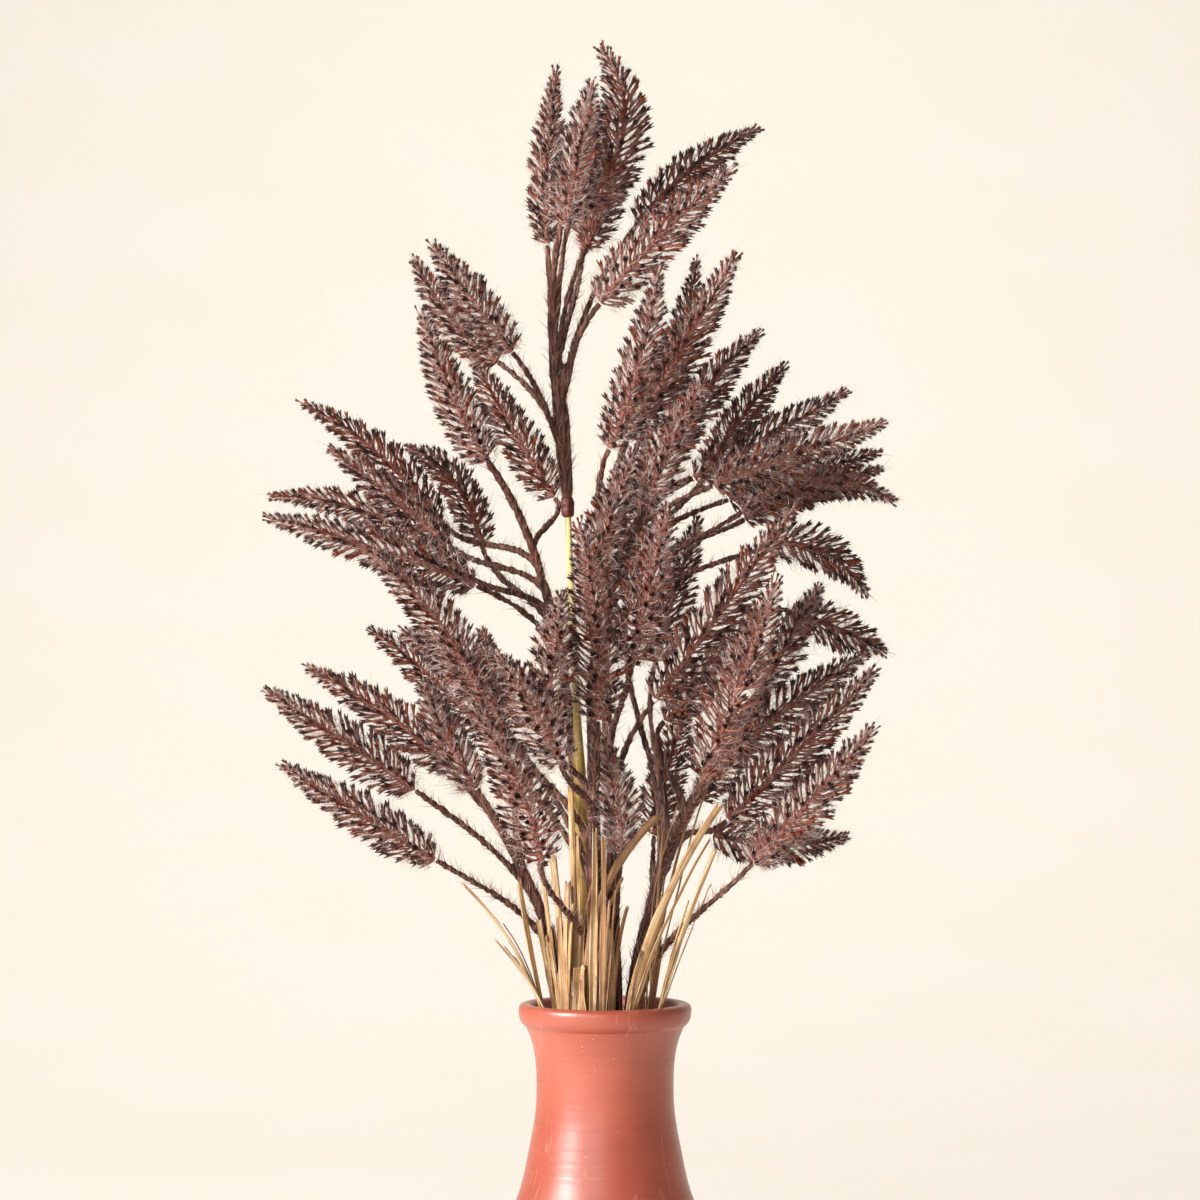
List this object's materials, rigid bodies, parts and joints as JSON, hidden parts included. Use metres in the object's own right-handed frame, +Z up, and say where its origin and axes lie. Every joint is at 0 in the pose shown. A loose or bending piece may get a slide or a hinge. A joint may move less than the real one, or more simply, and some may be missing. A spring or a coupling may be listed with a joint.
{
  "type": "flower vase",
  "caption": "Red clay bottle vase with a rolled lip, holding a loose bunch of dried dark fuzzy flower spikes on branching stems, a reed and tan husk blades.",
  "frame": {"origin": "centre of the vase's foot, on the surface it stands on", "axes": "+Z up along the vase's axis, -Y towards the viewer (the pictured side), +X to the viewer's right"},
  "size_m": [0.3395, 0.2435, 0.7906],
  "materials": {
    "terracotta": "satin",
    "reed": "satin",
    "bud": "satin",
    "tie_cord": "matte",
    "dried_florets": "matte",
    "dried_stem": "matte",
    "husk": "matte"
  },
  "bodies": {
    "vase": {"vase_body": "terracotta"},
    "bunch": {"bunch_tie": "tie_cord", "centre_spikes": "dried_florets", "centre_stems": "dried_stem", "front_left_spikes": "dried_florets", "front_left_stems": "dried_stem", "husk_blade_01": "husk", "husk_blade_02": "husk", "husk_blade_03": "husk", "husk_blade_04": "husk", "husk_blade_05": "husk", "husk_blade_06": "husk", "husk_blade_07": "husk", "husk_blade_08": "husk", "husk_blade_09": "husk", "husk_blade_10": "husk", "husk_blade_11": "husk", "husk_blade_12": "husk", "husk_blade_13": "husk", "husk_blade_14": "husk", "husk_blade_15": "husk", "husk_blade_16": "husk", "husk_blade_17": "husk", "husk_blade_18": "husk", "husk_blade_19": "husk", "husk_blade_20": "husk", "husk_blade_21": "husk", "husk_blade_22": "husk", "left_lower_spikes": "dried_florets", "left_lower_stems": "dried_stem", "left_upper_spikes": "dried_florets", "left_upper_stems": "dried_stem", "right_lower_spikes": "dried_florets", "right_lower_stems": "dried_stem", "right_middle_spikes": "dried_florets", "right_middle_stems": "dried_stem", "right_upper_spikes": "dried_florets", "right_upper_stems": "dried_stem"},
    "centre_sprig": {"centre_culm": "reed", "culm_socket": "bud", "crown_stems": "dried_stem", "crown_spikes": "dried_florets"}
  },
  "joints": [
    {"name": "bunch_lift", "type": "slide", "parent": "vase", "child": "bunch", "axis": [0, 0, 1], "range_m": [0, 0.3]},
    {"name": "centre_lift", "type": "slide", "parent": "bunch", "child": "centre_sprig", "axis": [-0.0454, 0, 0.999], "range_m": [0, 0.3]}
  ]
}
